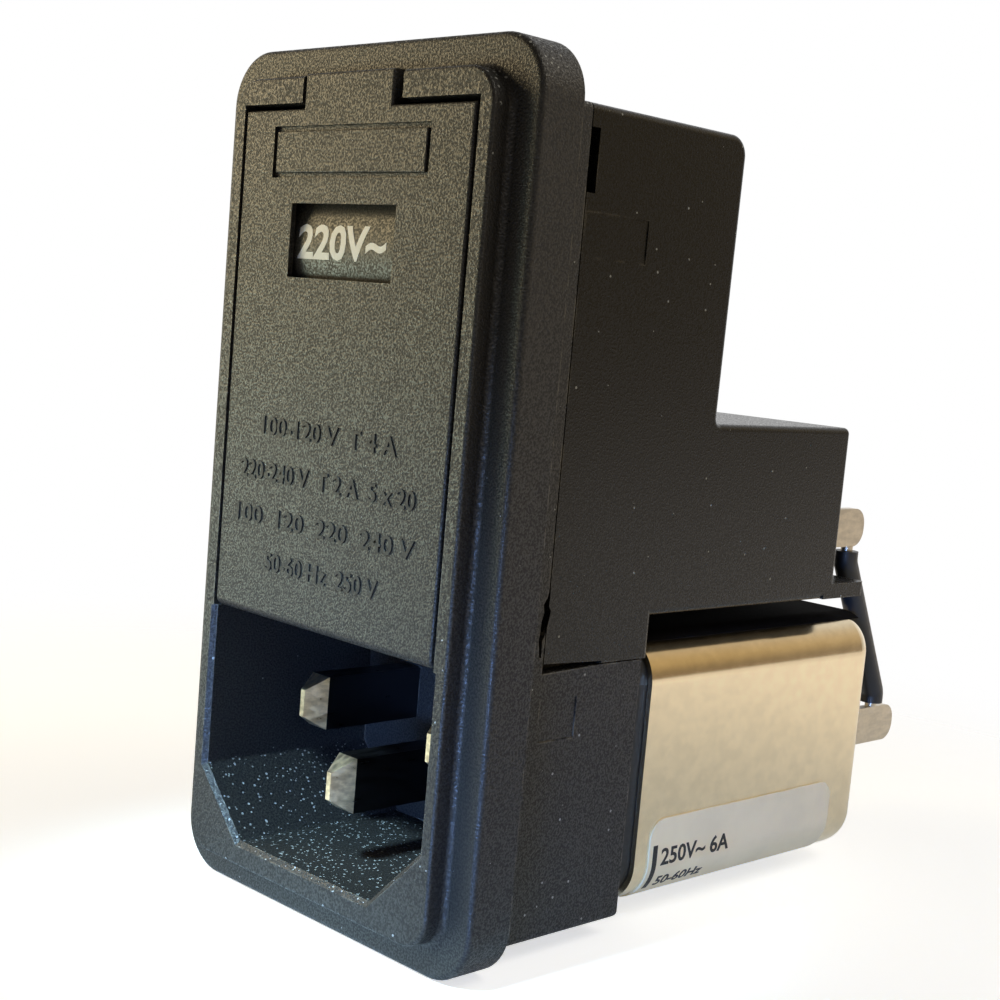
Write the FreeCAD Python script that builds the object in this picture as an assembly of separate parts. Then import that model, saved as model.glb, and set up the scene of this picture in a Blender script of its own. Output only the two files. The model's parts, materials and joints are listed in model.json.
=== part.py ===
import FreeCAD, Part
import math
import os

# Power entry module: a mains inlet with a fuse door, a voltage selector and a line filter.
# It is pushed into a panel cut-out from the front.
# Millimetres. x is to the right seen from the front, y goes into the panel, z is up.
# The origin is the centre of the flange's rear face, which sits on the panel.

V = FreeCAD.Vector

# Clearances
DOOR_LEFT_GAP = 0.1
DOOR_RIGHT_GAP = 0.45
TAB_RIGHT_GAP = 1.05
DOOR_TOP_GAP = 0.38
DOOR_LOW_GAP = 0.05
PIN_CLEAR = 0.06
TURN_CLEAR = 0.15
PLUG_CLEAR = 0.05
CARRIER_GAP = 0.6
END_CLEAR = 0.1
# How far a cutting tool runs past the face that it cuts
OVER = 1.0

# Walls, blades and tabs
WALL = 1.3
REAR_WALL = 1.4
BLADE_T = 0.8
TAB_W = 4.8
LINK_TAB_W = 3.2
TAB_TIP_R = 1.4
TAB_TIP_CUT = 0.9
TAB_HOLE_R = 0.8
TAB_HOLE_BACK = 4.0

# Mains inlet, whose width sets the width of the module
INLET_HW = 12.0
INLET_H = 16.75
INLET_CHAMFER = 4.7
INLET_R = 0.5
INLET_BEVEL = 0.35
INLET_FLOOR = 10.3
PIN_W = 2.0
PIN_H = 4.0
PIN_TIP_W = 0.45
PIN_TIP_H = 2.0
PIN_TAPER = 1.65
PIN_SPACING = 14.0
PIN_RISE = 9.95
EARTH_DROP = 4.15
LIVE_TIP_Y = -0.4
EARTH_TIP_Y = -3.15
TAIL_T = 0.8
TAIL_H = 2.8
TAIL_LEN = 5.2

# Bezel: flange, raised frame and the body behind them
FLANGE_HH = 30.45
FLANGE_R = 3.8
FLANGE_T = 3.7
FLANGE_EDGE = 0.4
FRAME_SIDE = 1.3
FRAME_WALL = 1.8
FRAME_INSET_X = 2.5
FRAME_INSET_Z = 2.25
FRAME_R = 2.4
FRAME_RISE = 1.6
FRAME_EDGE = 0.25
COVE_R = 0.45
FRAME_HW = INLET_HW + FRAME_SIDE
FRAME_HH = FLANGE_HH - FRAME_INSET_Z
FLANGE_HW = FRAME_HW + FRAME_INSET_X
FRONT_Y = -(FLANGE_T + FRAME_RISE)
OPENING_TOP = FRAME_HH - FRAME_WALL
OPENING_EASE = 0.1
OPENING_HW = INLET_HW + OPENING_EASE
INLET_BOTTOM = FRAME_WALL - FRAME_HH
INLET_TOP = INLET_BOTTOM + INLET_H
LIVE_Z = INLET_BOTTOM + PIN_RISE
EARTH_Z = LIVE_Z - EARTH_DROP
SEAT_TOP = 3.25
SEAT_BOTTOM = 1.25
CHAMBER_EASE = 0.2
CHAMBER_HW = INLET_HW + CHAMBER_EASE
BODY_HW = CHAMBER_HW + WALL
BODY_TOP = FLANGE_HH - SEAT_TOP
BODY_BOTTOM = SEAT_BOTTOM - FLANGE_HH
BODY_R = 0.5
SKIRT_Y = 3.3
TONGUE_HW = 9.0
TONGUE_LEN = 4.5
TONGUE_Y = SKIRT_Y + TONGUE_LEN
BLOCK_Y = 13.5
ROOF_T = 1.35
ROOF_FRONT = 3.1
ROOF_TOP = INLET_TOP + ROOF_T
ROOF_Y = FRONT_Y + ROOF_FRONT
SEAM_DROP = 0.4
SEAM_Z = INLET_TOP - SEAM_DROP

# Snap latches on the top and the underside
LATCH_HW = 4.5
LATCH_Y = 2.1
LATCH_LEN = 4.5
LATCH_H = 0.9

# Rear housing: tall selector chamber, deep fuse chamber, ledge
UPPER_Y = 19.5
UPPER_DRAFT = 0.3
UPPER_R = 1.5
MID_Y = 36.75
MID_RISE = 2.7
MID_H = 13.75
MID_Z0 = INLET_TOP + MID_RISE
MID_Z1 = MID_Z0 + MID_H
LIP_LEN = 0.7
LIP_Y = BLOCK_Y + LIP_LEN
DIVIDER_HW = 0.6
LEDGE_T = 1.2

# Marks on the sides: shallow panels, the slot at the top of the seam, the open end of the lower seam
PANEL_T = 0.08
PANEL_H = 2.9
UPPER_PANEL_DROP = 6.9
UPPER_PANEL_START = 0.3
UPPER_PANEL_LEN = 6.2
LOWER_PANEL_DROP = 2.05
LOWER_PANEL_START = 0.1
LOWER_PANEL_LEN = 3.6
SLOT_W = 0.9
SLOT_DROP = 1.55
SLOT_H = 4.15
SEAM_GAP = 0.5
SEAM_GAP_END = 0.25
SEAM_GAP_LEN = 5.9
SEAM_DIP = 0.2
SEAM_LINE = 0.1
SEAM_LINE_T = 0.2
MARK_DEPTH = WALL + CHAMBER_EASE

# Fuse door
DOOR_X0 = DOOR_LEFT_GAP - OPENING_HW
DOOR_X1 = OPENING_HW - DOOR_RIGHT_GAP
DOOR_X = (DOOR_X0 + DOOR_X1) / 2
DOOR_SET = 0.1
DOOR_FRONT = FRONT_Y + DOOR_SET
DOOR_Z0 = INLET_TOP + DOOR_LOW_GAP
DOOR_Z1 = OPENING_TOP - DOOR_TOP_GAP
DOOR_T = 1.0
DOOR_DEPTH = 2.0
DOOR_BACK = DOOR_FRONT + DOOR_DEPTH
DOOR_RIB = 1.3
DOOR_RAIL = 2.3
DOOR_EDGE = 0.2
DOOR_ROLL = 0.6
TAB_LEFT = 5.3
TAB_RIGHT = 3.95
TAB_X0 = DOOR_X - TAB_LEFT
TAB_X1 = DOOR_X + TAB_RIGHT
TAB_RISE = 0.15
TAB_DEPTH = 1.4
TAB_ROOT = 1.0
TAB_TOP = FRAME_HH + TAB_RISE
HINGE_R = 0.8
HINGE_SET = 1.1
HINGE_RISE = 1.15
HINGE_GRIP = 0.6
HINGE_Y = DOOR_FRONT + HINGE_SET
HINGE_Z = DOOR_Z0 + HINGE_RISE
HINGE_REACH = CHAMBER_HW + HINGE_GRIP
PLATE_LEFT = 8.4
PLATE_RIGHT = 7.9
PLATE_H = 3.5
PLATE_DROP = 1.15
PLATE_T = 0.3
WINDOW_LEFT = 5.9
WINDOW_RIGHT = 5.1
WINDOW_SKIN = 0.4
WINDOW_H = 5.05
WINDOW_LOW = 2.2

# Voltage selector
DRUM_SHARE = 0.733
DRUM_FOOT_SHARE = 0.157
CHAMBER_H = BODY_TOP - WALL - MID_Z1
DRUM_SIDE = 4.2
DRUM_R = CHAMBER_H * DRUM_SHARE / 2
DRUM_HW = CHAMBER_HW - DRUM_SIDE
DRUM_Y = DOOR_FRONT + WINDOW_SKIN + TURN_CLEAR + DRUM_R
DRUM_Z = MID_Z1 + CHAMBER_H * DRUM_FOOT_SHARE + DRUM_R
WINDOW_Z0 = DRUM_Z - WINDOW_LOW
POCKET_EASE = 0.4
POCKET_HW = DRUM_HW + POCKET_EASE
POCKET_HH = POCKET_EASE + math.sqrt((DRUM_R + TURN_CLEAR) ** 2 - (DRUM_Y - DOOR_FRONT - DOOR_T) ** 2)
JOURNAL_R = 1.6
RIB_GAP = 1.0
RIB_T = 1.4
RIB_FRONT = 3.8
RIB_RISE = 3.7
RIB_X0 = DRUM_HW + RIB_GAP
RIB_X1 = RIB_X0 + RIB_T
JOURNAL_REACH = RIB_X1 - END_CLEAR
RIB_Y = FRONT_Y + RIB_FRONT
BRIDGE_T = 0.5
BRIDGE_HALF_ANGLE = 18.0
VOLTAGES = ["100", "120", "220", "240"]
CONTACT_COUNT = len(VOLTAGES) + 1
CONTACT_PITCH = (2 * DRUM_HW - 2 * BLADE_T) / (CONTACT_COUNT - 1)
CONTACT_H = 2.8
CONTACT_NOSE = 0.7
CONTACT_NECK = 1.8
CONTACT_SHOULDER = 4.4
SHOULDER_T = 1.0
CONTACT_TIP = 1.8
CONTACT_TIP_CUT = 0.8
CONTACT_REACH = 5.5
CONTACT_HOLE_BACK = 2.8
CONTACT_TIP_Y = UPPER_Y + CONTACT_REACH

# Fuses, 5 x 20
BAY_FLOOR = MID_Z0 + WALL
BAY_ROOF = MID_Z1 - WALL
FUSE_X = (DIVIDER_HW + CHAMBER_HW) / 2
FUSE_Z = (BAY_FLOOR + BAY_ROOF) / 2
FUSE_Y = 8.0
FUSE_LEN = 20.0
FUSE_TUBE_R = 2.4
FUSE_BORE_R = 1.7
FUSE_CAP_R = 2.65
FUSE_CAP_LEN = 5.0
FUSE_CAP_END = 0.3
FUSE_WIRE_R = 0.15
CARRIER_HW = (CHAMBER_HW - DIVIDER_HW) / 2 - CARRIER_GAP
CARRIER_HH = (BAY_ROOF - BAY_FLOOR) / 2 - CARRIER_GAP
CARRIER_FRONT = 2.9
CARRIER_T = 4.0
CARRIER_R = 0.8
CARRIER_Y = FRONT_Y + CARRIER_FRONT
GRIP_HW = 3.0
GRIP_HH = 0.6
GRIP_T = 1.2
TRAY_HW = 2.4
TRAY_H = 3.75
TRAY_TAIL = 2.5
TRAY_END = FUSE_Y + FUSE_LEN + TRAY_TAIL
CLIP_T = 0.4
CLIP_LEN = 3.0
CLIP_OPEN = 25.0
CLIP_INSET = 1.0
CLIP_STEM_HW = 1.0
CLIP_STEP_H = 1.1
FRONT_CLIP_Y = FUSE_Y + CLIP_INSET
REAR_CLIP_Y = FUSE_Y + FUSE_LEN - CLIP_INSET - CLIP_LEN
LINE_TAB_OUT = 3.8
LINE_TAB_RISE = -0.1
LOAD_TAB_IN = 2.4
LOAD_TAB_REACH = 6.45
LINE_TAB_X = FUSE_X + LINE_TAB_OUT
LINE_TAB_TOP = FUSE_Z + LINE_TAB_RISE
LOAD_TAB_X = FUSE_X - LOAD_TAB_IN
LOAD_TAB_TIP = MID_Y + LOAD_TAB_REACH

# Filter can and what is in it
CAN_INSET = 0.5
CAN_GAP = 2.05
CAN_SET = 2.1
CAN_LEN = 29.2
CAN_HW = BODY_HW - CAN_INSET
CAN_Z0 = BODY_BOTTOM
CAN_Z1 = MID_Z0 - CAN_GAP
CAN_Y0 = BLOCK_Y + CAN_SET
CAN_Y1 = CAN_Y0 + CAN_LEN
LEDGE_SHORT = 3.7
LEDGE_Y = CAN_Y1 - LEDGE_SHORT
LINE_TAB_SHORT = 0.2
LINE_TAB_TIP = CAN_Y1 - LINE_TAB_SHORT
CAN_R = 3.3
CAN_REAR_R = 2.0
CAN_T = 0.4
BASE_LAP = 1.4
BASE_Y1 = CAN_Y0 + BASE_LAP
LABEL_T = 0.12
LABEL_FRONT = 1.5
LABEL_LEN = 23.1
LABEL_H = 6.6
LABEL_R = 1.6
LABEL_FAR = 3.4
LABEL_Y0 = CAN_Y0 + LABEL_FRONT
LABEL_Y1 = LABEL_Y0 + LABEL_LEN
LABEL_TOP = CAN_Z0 + LABEL_H
RESIN_GAP = 2.0
TAIL_Y = BLOCK_Y + TAIL_LEN
CORE_Z = (CAN_Z0 + CAN_Z1) / 2
CORE_R = 7.6
CORE_BORE = 4.2
CORE_SET = 5.4
CORE_LEN = 7.0
CORE_Y0 = BASE_Y1 + CORE_SET
WINDING_T = 0.8
WINDING_HALF_ANGLE = 62.0
XCAP_HW = 6.2
XCAP_HH = 5.75
CAP_GAP = 1.2
YCAP_R = 3.6
YCAP_X = 4.2
YCAP_DROP = 5.2
YCAP_LEN = 3.0
YCAP_COVER = 0.9
YCAP_Y0 = CAN_Y1 - CAN_T - RESIN_GAP - YCAP_COVER - YCAP_LEN
XCAP_Y0 = CORE_Y0 + CORE_LEN + WINDING_T + CAP_GAP
XCAP_Y1 = YCAP_Y0 - CAP_GAP
RESISTOR_R = 1.2
RESISTOR_HW = 3.5
RESISTOR_RISE = 4.2
LEAD_R = 0.5
LEAD_BEND = 1.5
LEAD_STRAIGHT = 2.2
OUT_TAB_SIDE = 3.4
OUT_TAB_RISE = 9.5
OUT_TAB_ROOT = 6.8
OUT_TAB_REACH = 8.9
OUT_TAB_X = CAN_HW - OUT_TAB_SIDE
OUT_TAB_Z = CAN_Z0 + OUT_TAB_RISE
OUT_TAB_Y0 = CAN_Y1 - OUT_TAB_ROOT
OUT_TAB_TIP = CAN_Y1 + OUT_TAB_REACH
BUSH_HW = 1.0
BUSH_HH = 2.4
BUSH_FLANGE = 0.4
BUSH_T = 1.0
GROUND_RISE = 3.2
GROUND_H = 6.8
GROUND_REACH = 8.0
STRAP_HW = 1.5
STRAP_T = 0.8

# Jumper leads between the fuse terminals and the can terminals
SLEEVE_R = 1.0
JUMPER_R = 0.5
JUMPER_BEND = 1.4
JUMPER_BACK_TOP = 1.6
JUMPER_BACK_LOW = 3.2
JUMPER_END = 1.3
JUMPER_BARE = 0.4

SIDES = [("line", 1), ("neutral", -1)]

X_AXIS = V(1, 0, 0)
Y_AXIS = V(0, 1, 0)
Z_AXIS = V(0, 0, 1)


def box(x0, x1, y0, y1, z0, z1):
    return Part.makeBox(x1 - x0, y1 - y0, z1 - z0, V(x0, y0, z0))


def blade_box(x, z, width, height, y0, y1):
    """A block along y, centred on (x, z)."""
    return box(x - width / 2, x + width / 2, y0, y1, z - height / 2, z + height / 2)


def flip(shape, side):
    """The shape itself for the right side, its mirror image for the left side."""
    if side > 0:
        return shape
    return shape.mirror(V(0, 0, 0), X_AXIS)


def both(shape):
    return [shape, flip(shape, -1)]


def rod(start, along, radius, length):
    return Part.makeCylinder(radius, length, start, along)


def across(outline, x0, x1):
    """Extrude a closed outline of (y, z) points along x."""
    points = [V(x0, y, z) for y, z in outline]
    face = Part.Face(Part.makePolygon(points + points[:1]))
    return face.extrude(V(x1 - x0, 0, 0))


def inward(outline, y0, y1):
    """Extrude a closed outline of (x, z) points along y."""
    points = [V(x, y0, z) for x, z in outline]
    face = Part.Face(Part.makePolygon(points + points[:1]))
    return face.extrude(V(0, y1 - y0, 0))


def near(value, target):
    return abs(value - target) < 1e-4


def edges_of(shape, test):
    """Edges whose two ends and middle all pass the test."""
    chosen = []
    for edge in shape.Edges:
        middle = edge.valueAt((edge.FirstParameter + edge.LastParameter) / 2)
        ends = [vertex.Point for vertex in edge.Vertexes]
        if all(test(point) for point in ends + [middle]):
            chosen.append(edge)
    return chosen


def runs_along(edge, axis):
    start = edge.Vertexes[0].Point
    end = edge.Vertexes[-1].Point
    return abs((end - start).normalize().dot(axis)) > 0.999


def tip_edges(shape, y, axis):
    """Edges along the axis on the end face at y."""
    return [e for e in edges_of(shape, lambda p: near(p.y, y)) if runs_along(e, axis)]


def round_plate(hw, z0, z1, radius, y0, y1):
    """A block whose four edges along y are rounded."""
    block = box(-hw, hw, y0, y1, z0, z1)
    return block.makeFillet(radius, [e for e in block.Edges if runs_along(e, Y_AXIS)])


def pipe(points, bend, radius):
    """A round lead along straight runs joined by arcs of one radius."""
    edges = []
    start = points[0]
    for before, corner, after in zip(points, points[1:], points[2:]):
        into = (corner - before).normalize()
        out = (after - corner).normalize()
        half = into.getAngle(out) / 2
        reach = bend * math.tan(half)
        first = corner - into * reach
        last = corner + out * reach
        to_centre = (out - into).normalize()
        middle = corner + to_centre * (bend / math.cos(half) - bend)
        edges.append(Part.makeLine(start, first))
        edges.append(Part.Arc(first, middle, last).toShape())
        start = last
    edges.append(Part.makeLine(start, points[-1]))
    heading = (points[1] - points[0]).normalize()
    ring = Part.Wire(Part.makeCircle(radius, points[0], heading))
    return Part.Wire(edges).makePipe(Part.Face(ring))


def one(shape):
    """The single solid of a result."""
    solids = shape.removeSplitter().Solids
    if len(solids) != 1:
        raise RuntimeError("expected one solid, found %d" % len(solids))
    return solids[0]


def bezel_face():
    """Flange and raised frame, joined by a cove."""
    flange = round_plate(FLANGE_HW, -FLANGE_HH, FLANGE_HH, FLANGE_R, -FLANGE_T, 0)
    flange = flange.makeFillet(FLANGE_EDGE, edges_of(flange, lambda p: near(p.y, -FLANGE_T)))
    frame = round_plate(FRAME_HW, -FRAME_HH, FRAME_HH, FRAME_R, FRONT_Y, -FLANGE_T)
    frame = frame.makeFillet(FRAME_EDGE, edges_of(frame, lambda p: near(p.y, FRONT_Y)))
    face = flange.fuse(frame).removeSplitter()
    reach_x = FRAME_HW + FRAME_INSET_X / 4
    reach_z = FRAME_HH + FRAME_INSET_Z / 4
    foot = edges_of(face, lambda p: near(p.y, -FLANGE_T) and abs(p.x) < reach_x and abs(p.z) < reach_z)
    return face.makeFillet(COVE_R, foot)


def inlet_outline(grow):
    """The connector opening with its two slanted lower corners, all but its top moved out by grow."""
    hw = INLET_HW + grow
    bottom = INLET_BOTTOM - grow
    slant = INLET_CHAMFER + grow * (2 - math.sqrt(2))
    low = bottom + slant
    inner = hw - slant
    return [(-hw, INLET_TOP), (hw, INLET_TOP), (hw, low), (inner, bottom), (-inner, bottom), (-hw, low)]


def inlet_well():
    """The cavity a mains connector goes into, with a bevelled mouth."""
    well = inward(inlet_outline(0), FRONT_Y - OVER, INLET_FLOOR)
    lower = [e for e in well.Edges if runs_along(e, Y_AXIS) and not near(e.Vertexes[0].Z, INLET_TOP)]
    rings = []
    for y, grow in ((FRONT_Y, INLET_BEVEL), (FRONT_Y + INLET_BEVEL, 0)):
        corners = [V(x, y, z) for x, z in inlet_outline(grow)]
        rings.append(Part.makePolygon(corners + corners[:1]))
    return [well.makeFillet(INLET_R, lower), Part.makeLoft(rings, True, True)]


def pin_places():
    half = PIN_SPACING / 2
    return [("line_pin", half, LIVE_Z, LIVE_TIP_Y), ("neutral_pin", -half, LIVE_Z, LIVE_TIP_Y),
            ("earth_pin", 0.0, EARTH_Z, EARTH_TIP_Y)]


def latch(z, rise):
    """A wedge that snaps in behind the panel."""
    crest = LATCH_Y + LATCH_H
    outline = [(LATCH_Y, z), (LATCH_Y, z + rise), (crest, z + rise), (LATCH_Y + LATCH_LEN, z)]
    return across(outline, -LATCH_HW, LATCH_HW)


def torn_slot():
    """The torn gap at the lower end of the right-hand seam, kept as the photo shows it."""
    rear = [(0.1, 5.8), (0.15, 5.25), (0.1, 4.45), (0.32, 4.1), (0.24, 3.6), (0.14, 3.1), (-0.08, 2.4),
            (-0.24, 2.1), (-0.22, 0.95)]
    front = [(-0.4, 0.95), (-0.6, 2.2), (-0.5, 2.85), (-0.48, 3.45), (-0.3, 4.05), (-0.42, 4.55),
             (-0.12, 5.0)]
    outline = [(SKIRT_Y + back, SEAM_Z + up) for back, up in rear + front]
    return across(outline, BODY_HW - MARK_DEPTH, BODY_HW + OVER)


def seam_dip():
    """The hollow worn in the block's upper edge, under the open end of the lower seam."""
    outline = [(SKIRT_Y, SEAM_Z - SEAM_DIP), (SKIRT_Y + SEAM_GAP_LEN, SEAM_Z), (SKIRT_Y, SEAM_Z)]
    return both(across(outline, CHAMBER_HW, BODY_HW + OVER))


def side_panel(y0, y1, top):
    """A shallow sunk panel on each side."""
    return both(box(BODY_HW - PANEL_T, BODY_HW + OVER, y0, y1, top - PANEL_H, top))


def door_opening():
    """The way through flange and skirt to the fuses, with the notch for the door's tab."""
    front = box(-OPENING_HW, OPENING_HW, FRONT_Y - OVER, 0, INLET_TOP, OPENING_TOP)
    behind = box(-CHAMBER_HW, CHAMBER_HW, -OVER, SKIRT_Y + OVER, INLET_TOP, BODY_TOP - WALL)
    notch = box(TAB_X0 - DOOR_LEFT_GAP, TAB_X1 + TAB_RIGHT_GAP, FRONT_Y - OVER, -FLANGE_T,
                OPENING_TOP - OVER, FRAME_HH + COVE_R + OVER)
    return [front, behind, notch]


def inlet_block():
    """The block behind the flange that the inlet is sunk in, with the shelf over the inlet."""
    block = box(-BODY_HW, BODY_HW, 0, BLOCK_Y, BODY_BOTTOM, SEAM_Z)
    lower = edges_of(block, lambda p: near(p.z, BODY_BOTTOM))
    lower = [e for e in lower if not (runs_along(e, X_AXIS) and near(e.Vertexes[0].Y, 0))]
    block = block.makeFillet(BODY_R, lower)
    shelf = box(-CHAMBER_HW, CHAMBER_HW, ROOF_Y, SKIRT_Y, SEAM_Z - OVER, ROOF_TOP)
    roof_hw = CHAMBER_HW - PLUG_CLEAR
    roof = box(-roof_hw, roof_hw, SKIRT_Y - OVER, BLOCK_Y, SEAM_Z - OVER, ROOF_TOP)
    return [block, shelf, roof]


def hinge_rod(reach, radius):
    return rod(V(-reach, HINGE_Y, HINGE_Z), X_AXIS, radius, 2 * reach)


def front_bezel():
    bezel = bezel_face()
    bezel = bezel.fuse(round_plate(BODY_HW, BODY_BOTTOM, BODY_TOP, BODY_R, 0, SKIRT_Y))
    bezel = bezel.cut(door_opening())
    bezel = bezel.fuse(inlet_block())
    bezel = bezel.fuse(box(-TONGUE_HW, TONGUE_HW, 0, TONGUE_Y, BODY_TOP - WALL, BODY_TOP))
    bezel = bezel.fuse([latch(BODY_TOP, LATCH_H), latch(BODY_BOTTOM, -LATCH_H)])
    panel_y = SKIRT_Y + LOWER_PANEL_START
    bezel = bezel.cut(side_panel(panel_y, panel_y + LOWER_PANEL_LEN, SEAM_Z - LOWER_PANEL_DROP))
    bezel = bezel.cut(inlet_well())
    for name, x, z, tip in pin_places():
        bezel = bezel.cut(blade_box(x, z, PIN_W, PIN_H, INLET_FLOOR - OVER, BLOCK_Y + OVER))
    bezel = bezel.cut(hinge_rod(HINGE_REACH + END_CLEAR, HINGE_R + PIN_CLEAR))
    return one(bezel.cut(seam_dip() + [torn_slot()]))


def housing_shell():
    """The outer form: stepped in side view, with rounded edges and a ledge at the back."""
    crest = UPPER_Y + UPPER_DRAFT
    outline = [(SKIRT_Y, SEAM_Z), (LIP_Y, SEAM_Z), (LIP_Y, MID_Z0), (MID_Y, MID_Z0), (MID_Y, MID_Z1),
               (UPPER_Y, MID_Z1), (crest, BODY_TOP), (SKIRT_Y, BODY_TOP)]
    shell = across(outline, -BODY_HW, BODY_HW)
    shell = shell.makeFillet(UPPER_R, edges_of(shell, lambda p: near(p.y, crest) and near(p.z, BODY_TOP)))
    sharp = edges_of(shell, lambda p: near(p.y, SKIRT_Y)) + edges_of(shell, lambda p: near(p.z, SEAM_Z))
    sharp += edges_of(shell, lambda p: near(p.y, LIP_Y) and near(p.z, MID_Z0))
    rounded = [e for e in shell.Edges if not any(e.isSame(kept) for kept in sharp)]
    shell = shell.makeFillet(BODY_R, rounded)
    ledge = box(-BODY_HW, BODY_HW, MID_Y - REAR_WALL, LEDGE_Y, MID_Z0, MID_Z0 + LEDGE_T)
    return shell.fuse(ledge.makeFillet(BODY_R, tip_edges(ledge, LEDGE_Y, Z_AXIS)))


def drum_support():
    """A rib with a front-opening slot that a drum journal drops into."""
    rib = box(RIB_X0, RIB_X1, RIB_Y, UPPER_Y - REAR_WALL, MID_Z1, DRUM_Z + RIB_RISE)
    radius = JOURNAL_R + PIN_CLEAR
    rib = rib.cut(box(RIB_X0 - OVER, RIB_X1 + OVER, RIB_Y - OVER, DRUM_Y, DRUM_Z - radius, DRUM_Z + radius))
    return rib.cut(rod(V(RIB_X0 - OVER, DRUM_Y, DRUM_Z), X_AXIS, radius, RIB_T + 2 * OVER))


def contact_places():
    middle = (CONTACT_COUNT - 1) / 2
    return [(i - middle) * CONTACT_PITCH for i in range(CONTACT_COUNT)]


def terminal_slots():
    """Slots in the rear walls that the blades fill."""
    upper = UPPER_Y - REAR_WALL - OVER
    slots = [blade_box(x, DRUM_Z, BLADE_T, CONTACT_H, upper, UPPER_Y + OVER) for x in contact_places()]
    lower = MID_Y - REAR_WALL - OVER
    line = blade_box(LINE_TAB_X, LINE_TAB_TOP - LINK_TAB_W / 2, BLADE_T, LINK_TAB_W, lower, MID_Y + OVER)
    load = blade_box(LOAD_TAB_X, BAY_ROOF - BLADE_T / 2, TAB_W, BLADE_T, lower, MID_Y + OVER)
    return slots + both(line) + both(load)


def housing_hollows():
    """The selector chamber, the two fuse bays and the space over the inlet block."""
    front = SKIRT_Y - OVER
    chamber = box(-CHAMBER_HW, CHAMBER_HW, front, UPPER_Y - REAR_WALL, MID_Z1, BODY_TOP - WALL)
    bay = box(DIVIDER_HW, CHAMBER_HW, front, MID_Y - REAR_WALL, BAY_FLOOR, BAY_ROOF)
    under = box(-CHAMBER_HW, CHAMBER_HW, front, LIP_Y - WALL, SEAM_Z - OVER, MID_Z0)
    shelf = box(-CHAMBER_HW, CHAMBER_HW, front, LIP_Y + OVER, SEAM_Z - OVER, ROOF_TOP)
    tongue_hw = TONGUE_HW + PLUG_CLEAR
    tongue_end = TONGUE_Y + PLUG_CLEAR
    tongue = box(-tongue_hw, tongue_hw, front, tongue_end, BODY_TOP - WALL - OVER, BODY_TOP + OVER)
    return [chamber, under, shelf, tongue] + both(bay)


def seam_marks():
    """On both sides: the slot at the top of the seam, the open end of the lower seam, the seam lines."""
    inner = BODY_HW - MARK_DEPTH
    outer = BODY_HW + OVER
    groove = BODY_HW - SEAM_LINE_T
    front = SKIRT_Y - OVER
    slot_top = BODY_TOP - SLOT_DROP
    slot = box(inner, outer, front, SKIRT_Y + SLOT_W, slot_top - SLOT_H, slot_top)
    gap_end = SKIRT_Y + SEAM_GAP_LEN
    gap = across([(SKIRT_Y, SEAM_Z - OVER), (SKIRT_Y, SEAM_Z + SEAM_GAP), (gap_end, SEAM_Z + SEAM_GAP_END),
                  (gap_end, SEAM_Z - OVER)], inner, outer)
    level = box(groove, outer, front, LIP_Y + OVER, SEAM_Z - OVER, SEAM_Z + SEAM_LINE)
    upright = box(groove, outer, front, SKIRT_Y + SEAM_LINE, SEAM_Z - OVER, BODY_TOP + OVER)
    marks = []
    for mark in (slot, gap, level, upright):
        marks += both(mark)
    return marks


def rear_housing():
    housing = housing_shell().cut(housing_hollows())
    housing = housing.fuse(both(drum_support()))
    housing = housing.cut(terminal_slots())
    housing = housing.cut(seam_marks())
    panel_y = SKIRT_Y + UPPER_PANEL_START
    housing = housing.cut(side_panel(panel_y, panel_y + UPPER_PANEL_LEN, BODY_TOP - UPPER_PANEL_DROP))
    return one(housing.cut(torn_slot()))


def door_panel():
    """The door's outer form with its tab, rolled hinge edge and eased rim."""
    door = box(DOOR_X0, DOOR_X1, DOOR_FRONT, DOOR_BACK, DOOR_Z0, DOOR_Z1)
    tab = box(TAB_X0, TAB_X1, DOOR_FRONT, DOOR_FRONT + TAB_DEPTH, DOOR_Z1 - TAB_ROOT, TAB_TOP)
    door = door.fuse(tab).removeSplitter()
    lower = [e for e in edges_of(door, lambda p: near(p.z, DOOR_Z0)) if runs_along(e, X_AXIS)]
    door = door.makeFillet(DOOR_ROLL, lower)
    rim = [e for e in edges_of(door, lambda p: near(p.y, DOOR_FRONT))
           if max(v.Z for v in e.Vertexes) > DOOR_Z0 + 2 * DOOR_ROLL]
    return door.makeFillet(DOOR_EDGE, rim)


def door_hollows():
    """The space inside the door's rim, a pocket for the drum, the window and a bare sunk plate above it."""
    front = DOOR_FRONT - OVER
    back = DOOR_BACK + OVER
    hollow = box(DOOR_X0 + DOOR_RIB, DOOR_X1 - DOOR_RIB, DOOR_FRONT + DOOR_T, back,
                 DOOR_Z0 + DOOR_RAIL, DOOR_Z1 - DOOR_RIB)
    pocket = blade_box(0, DRUM_Z, 2 * POCKET_HW, 2 * POCKET_HH, DOOR_FRONT + WINDOW_SKIN, back)
    window = box(DOOR_X - WINDOW_LEFT, DOOR_X + WINDOW_RIGHT, front, back, WINDOW_Z0, WINDOW_Z0 + WINDOW_H)
    plate_top = DOOR_Z1 - PLATE_DROP
    plate = box(DOOR_X - PLATE_LEFT, DOOR_X + PLATE_RIGHT, front, DOOR_FRONT + PLATE_T,
                plate_top - PLATE_H, plate_top)
    return [hollow, pocket, window, plate]


def fuse_door():
    door = door_panel().cut(door_hollows())
    return one(door.fuse(hinge_rod(HINGE_REACH, HINGE_R)))


def drum_rod(x0, x1, radius):
    return rod(V(x0, DRUM_Y, DRUM_Z), X_AXIS, radius, x1 - x0)


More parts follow.
